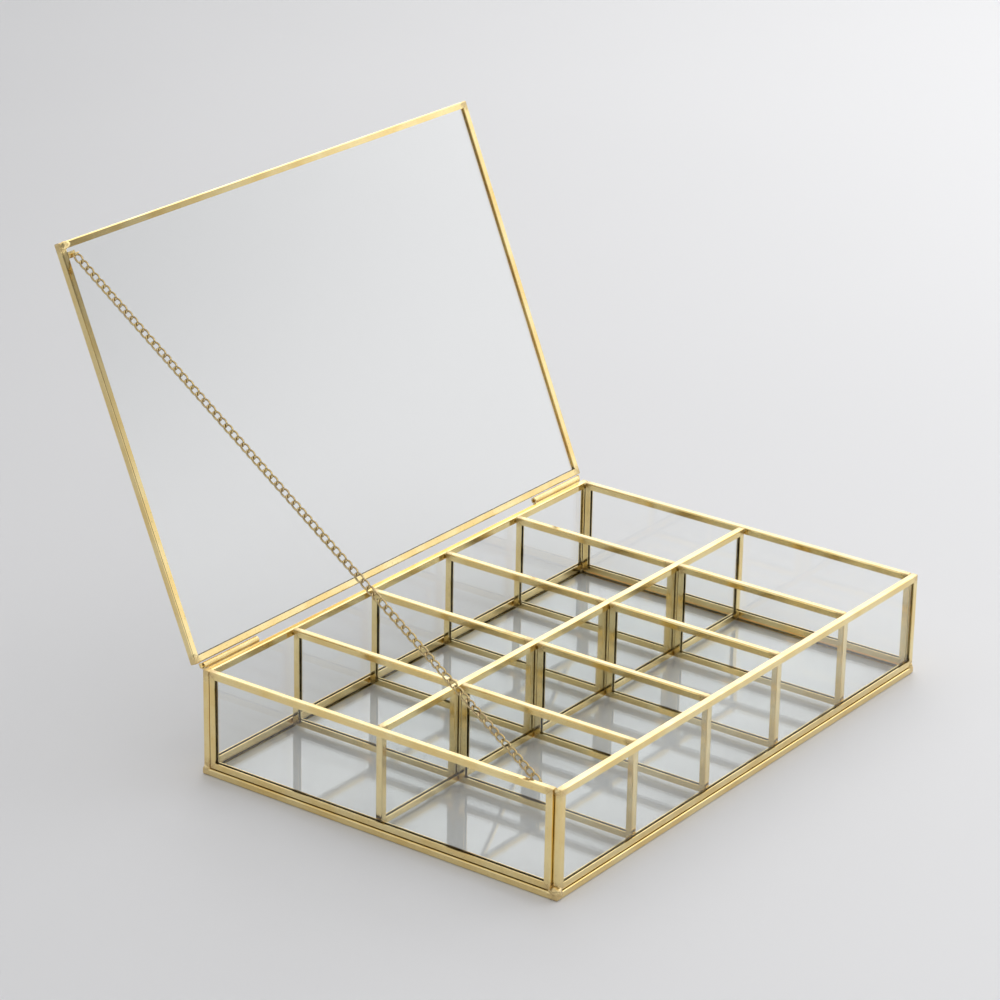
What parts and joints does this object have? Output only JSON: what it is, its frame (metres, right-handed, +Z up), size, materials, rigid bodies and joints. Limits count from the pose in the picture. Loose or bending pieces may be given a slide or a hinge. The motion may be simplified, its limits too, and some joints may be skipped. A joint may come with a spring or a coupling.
{
  "type": "jewelry box",
  "caption": "Low rectangular display box of clear glass panes in brass channel, with inner dividers and a hinged glass lid held open by a stay chain.",
  "frame": {"origin": "middle of the bounding box in plan, lid open, on the surface that the box stands on", "axes": "+X along the front wall to the right, +Y from the front wall to the hinged side, +Z up"},
  "size_m": [0.301, 0.2808, 0.2376],
  "materials": {
    "came": "polished",
    "hinge": "polished",
    "chain": "polished",
    "glass": "clear"
  },
  "bodies": {
    "box": {"base_frame": "came", "base_pane": "glass", "front_frame": "came", "front_pane": "glass", "rear_frame": "came", "rear_pane": "glass", "left_frame": "came", "left_pane": "glass", "right_frame": "came", "right_pane": "glass", "long_divider_frame": "came", "long_divider_pane": "glass", "front_divider_1_frame": "came", "front_divider_1_pane": "glass", "front_divider_2_frame": "came", "front_divider_2_pane": "glass", "front_divider_3_frame": "came", "front_divider_3_pane": "glass", "front_divider_4_frame": "came", "front_divider_4_pane": "glass", "rear_divider_1_frame": "came", "rear_divider_1_pane": "glass", "rear_divider_2_frame": "came", "rear_divider_2_pane": "glass", "rear_divider_3_frame": "came", "rear_divider_3_pane": "glass", "rear_divider_4_frame": "came", "rear_divider_4_pane": "glass", "hinge_tube_left": "hinge", "hinge_tube_right": "hinge", "chain_eye_box": "chain"},
    "lid": {"lid_frame": "came", "lid_pane": "glass", "hinge_pin_left": "hinge", "hinge_pin_right": "hinge", "chain_eye_lid": "chain"},
    "chain_1": {"chain_run_1": "chain"},
    "chain_2": {"chain_run_2": "chain"},
    "chain_3": {"chain_run_3": "chain"},
    "chain_4": {"chain_run_4": "chain"},
    "chain_5": {"chain_run_5": "chain"},
    "chain_6": {"chain_run_6": "chain"},
    "chain_7": {"chain_run_7": "chain"},
    "chain_8": {"chain_run_8": "chain"}
  },
  "joints": [
    {"name": "lid_hinge", "type": "hinge", "parent": "box", "child": "lid", "pos_m": [0, 0.05993, 0.0523], "axis": [1, 0, 0], "range_deg": [0, 112.65]},
    {"name": "chain_bend_1", "type": "hinge", "parent": "box", "child": "chain_1", "pos_m": [-0.1437, -0.12597, 0.05], "axis": [-1, 0, 0], "range_deg": [0, 78.39]},
    {"name": "chain_bend_2", "type": "hinge", "parent": "chain_1", "child": "chain_2", "pos_m": [-0.1437, -0.07361, 0.08681], "axis": [0.7363, 0.371, 0.5658], "range_deg": [0, 212.57]},
    {"name": "chain_bend_3", "type": "hinge", "parent": "chain_2", "child": "chain_3", "pos_m": [-0.14545, -0.04524, 0.10676], "axis": [0, -0.5751, 0.8181], "range_deg": [0, 162]},
    {"name": "chain_bend_4", "type": "hinge", "parent": "chain_3", "child": "chain_4", "pos_m": [-0.14195, -0.01687, 0.1267], "axis": [0, 0.5751, -0.8181], "range_deg": [0, 162]},
    {"name": "chain_bend_8", "type": "hinge", "parent": "lid", "child": "chain_8", "pos_m": [-0.1437, 0.13345, 0.23238], "axis": [-1, 0, 0], "range_deg": [0, 50.93]},
    {"name": "chain_bend_7", "type": "hinge", "parent": "chain_8", "child": "chain_7", "pos_m": [-0.1437, 0.09663, 0.2065], "axis": [-0.6136, 0.7684, -0.1817], "range_deg": [0, 249.33]},
    {"name": "chain_bend_6", "type": "hinge", "parent": "chain_7", "child": "chain_6", "pos_m": [-0.14545, 0.06826, 0.18655], "axis": [0, 0.5751, -0.8181], "range_deg": [0, 162]},
    {"name": "chain_bend_5", "type": "hinge", "parent": "chain_6", "child": "chain_5", "pos_m": [-0.14195, 0.03988, 0.1666], "axis": [0, -0.5751, 0.8181], "range_deg": [0, 162]}
  ],
  "couplings": [
    {"joint": "chain_bend_1", "follows": "lid_hinge", "ratio": 0.69591},
    {"joint": "chain_bend_2", "follows": "lid_hinge", "ratio": 1.887},
    {"joint": "chain_bend_3", "follows": "lid_hinge", "ratio": 1.4381},
    {"joint": "chain_bend_4", "follows": "lid_hinge", "ratio": 1.4381},
    {"joint": "chain_bend_8", "follows": "lid_hinge", "ratio": 0.45213},
    {"joint": "chain_bend_7", "follows": "lid_hinge", "ratio": 2.2133},
    {"joint": "chain_bend_6", "follows": "lid_hinge", "ratio": 1.4381},
    {"joint": "chain_bend_5", "follows": "lid_hinge", "ratio": 1.4381}
  ]
}
